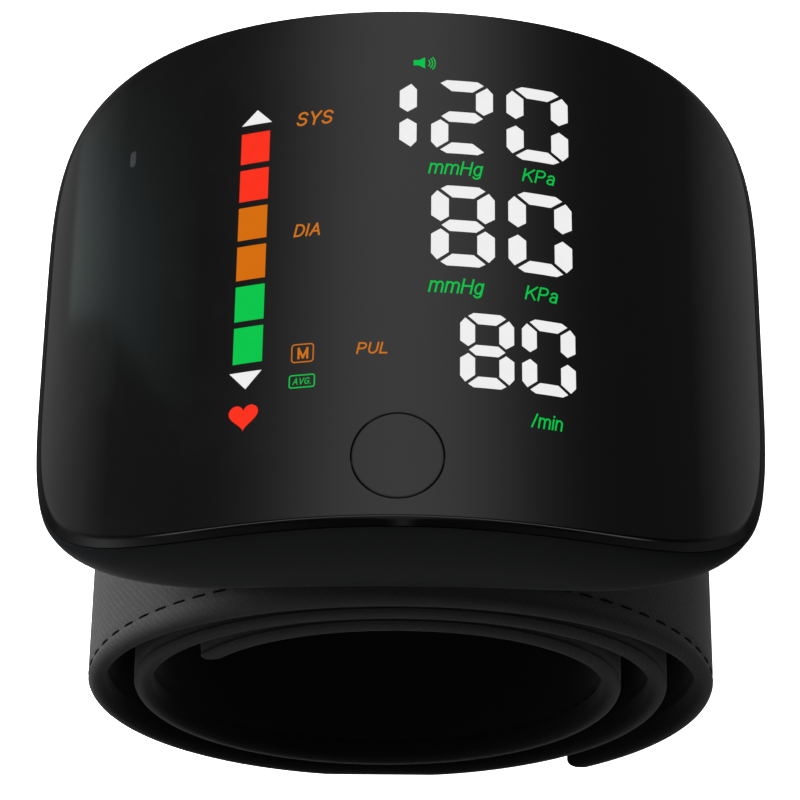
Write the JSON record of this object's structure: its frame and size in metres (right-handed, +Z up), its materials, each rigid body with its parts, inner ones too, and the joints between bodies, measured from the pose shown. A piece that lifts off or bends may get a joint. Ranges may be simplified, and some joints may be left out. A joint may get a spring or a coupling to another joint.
{
  "type": "wrist blood pressure monitor",
  "caption": "Arched handheld case with a lit number display and a push button, standing on its rolled wrist cuff, which it inflates to measure blood pressure.",
  "frame": {"origin": "on the surface the rolled cuff stands on, under the middle of the part", "axes": "+Z up, out of the face; X across the wrist, +X to the right when reading the display; +Y along the wrist, away from the reader"},
  "size_m": [0.0734, 0.0586, 0.068],
  "materials": {
    "gloss_black": "polished black cover",
    "matt_black": "fine moulded texture",
    "smoked_film": "smoked printed film",
    "clear_plastic": "smoky clear light pipe",
    "white_plastic": "moulded",
    "circuit_board": "solder mask",
    "steel": "plain",
    "battery_foil": "pouch foil",
    "rubber": "matt",
    "silicone": "milky silicone",
    "cuff_cloth": "black brushed nylon with bound edges",
    "lining_cloth": "smooth black nylon",
    "film_plastic": "curled plastic sheet",
    "hook_tape": "hook tape"
  },
  "bodies": {
    "case": {"front_cover": "gloss_black", "rear_case": "matt_black", "indicator_lens": "clear_plastic", "case_screw_1": "steel", "case_screw_2": "steel", "case_screw_3": "steel", "case_screw_4": "steel", "button_board": "circuit_board", "switch_body": "rubber", "main_board": "circuit_board", "display_reflector": "white_plastic", "display_mask": "smoked_film", "battery": "battery_foil", "usb_socket": "steel", "speaker": "rubber", "pump_motor": "steel", "pump_head": "white_plastic", "valve_body": "rubber", "valve_spring": "steel", "air_manifold": "silicone", "pressure_sensor": "rubber", "air_tube_sensor": "silicone", "air_tube_valve": "silicone", "air_tube_pump": "silicone", "air_tube_cuff": "silicone", "cuff_nozzle": "white_plastic", "nozzle_seal": "rubber", "cuff_outer_cloth": "cuff_cloth", "cuff_inner_cloth": "lining_cloth", "cuff_stay": "film_plastic", "cuff_bladder": "rubber", "cuff_mount_plate": "matt_black"},
    "start_button": {"start_button": "gloss_black"},
    "switch_plunger": {"switch_plunger": "white_plastic"},
    "pump_shaft": {"pump_shaft": "steel"},
    "valve_plunger": {"valve_plunger": "steel"},
    "cuff_flap": {"cuff_flap": "cuff_cloth", "hook_patch": "hook_tape"}
  },
  "joints": [
    {"name": "button_press", "type": "slide", "parent": "case", "child": "start_button", "axis": [0, 0, -1], "range_m": [0, 0.0005], "stiffness_N_per_m": 1500},
    {"name": "switch_press", "type": "slide", "parent": "case", "child": "switch_plunger", "axis": [0, 0, -1], "range_m": [0, 0.0005]},
    {"name": "pump_spin", "type": "hinge", "parent": "case", "child": "pump_shaft", "pos_m": [0.0065, -0.0217, 0.0565], "axis": [1, 0, 0], "continuous": true},
    {"name": "valve_release", "type": "slide", "parent": "case", "child": "valve_plunger", "axis": [0, -1, 0], "range_m": [0, 0.0006], "stiffness_N_per_m": 800, "deforming": ["valve_spring"]},
    {"name": "flap_peel", "type": "hinge", "parent": "case", "child": "cuff_flap", "pos_m": [0.03243, 0, 0.02225], "axis": [0, -1, 0], "range_deg": [0, 85]}
  ],
  "couplings": [
    {"joint": "switch_press", "follows": "button_press", "ratio": 1}
  ]
}
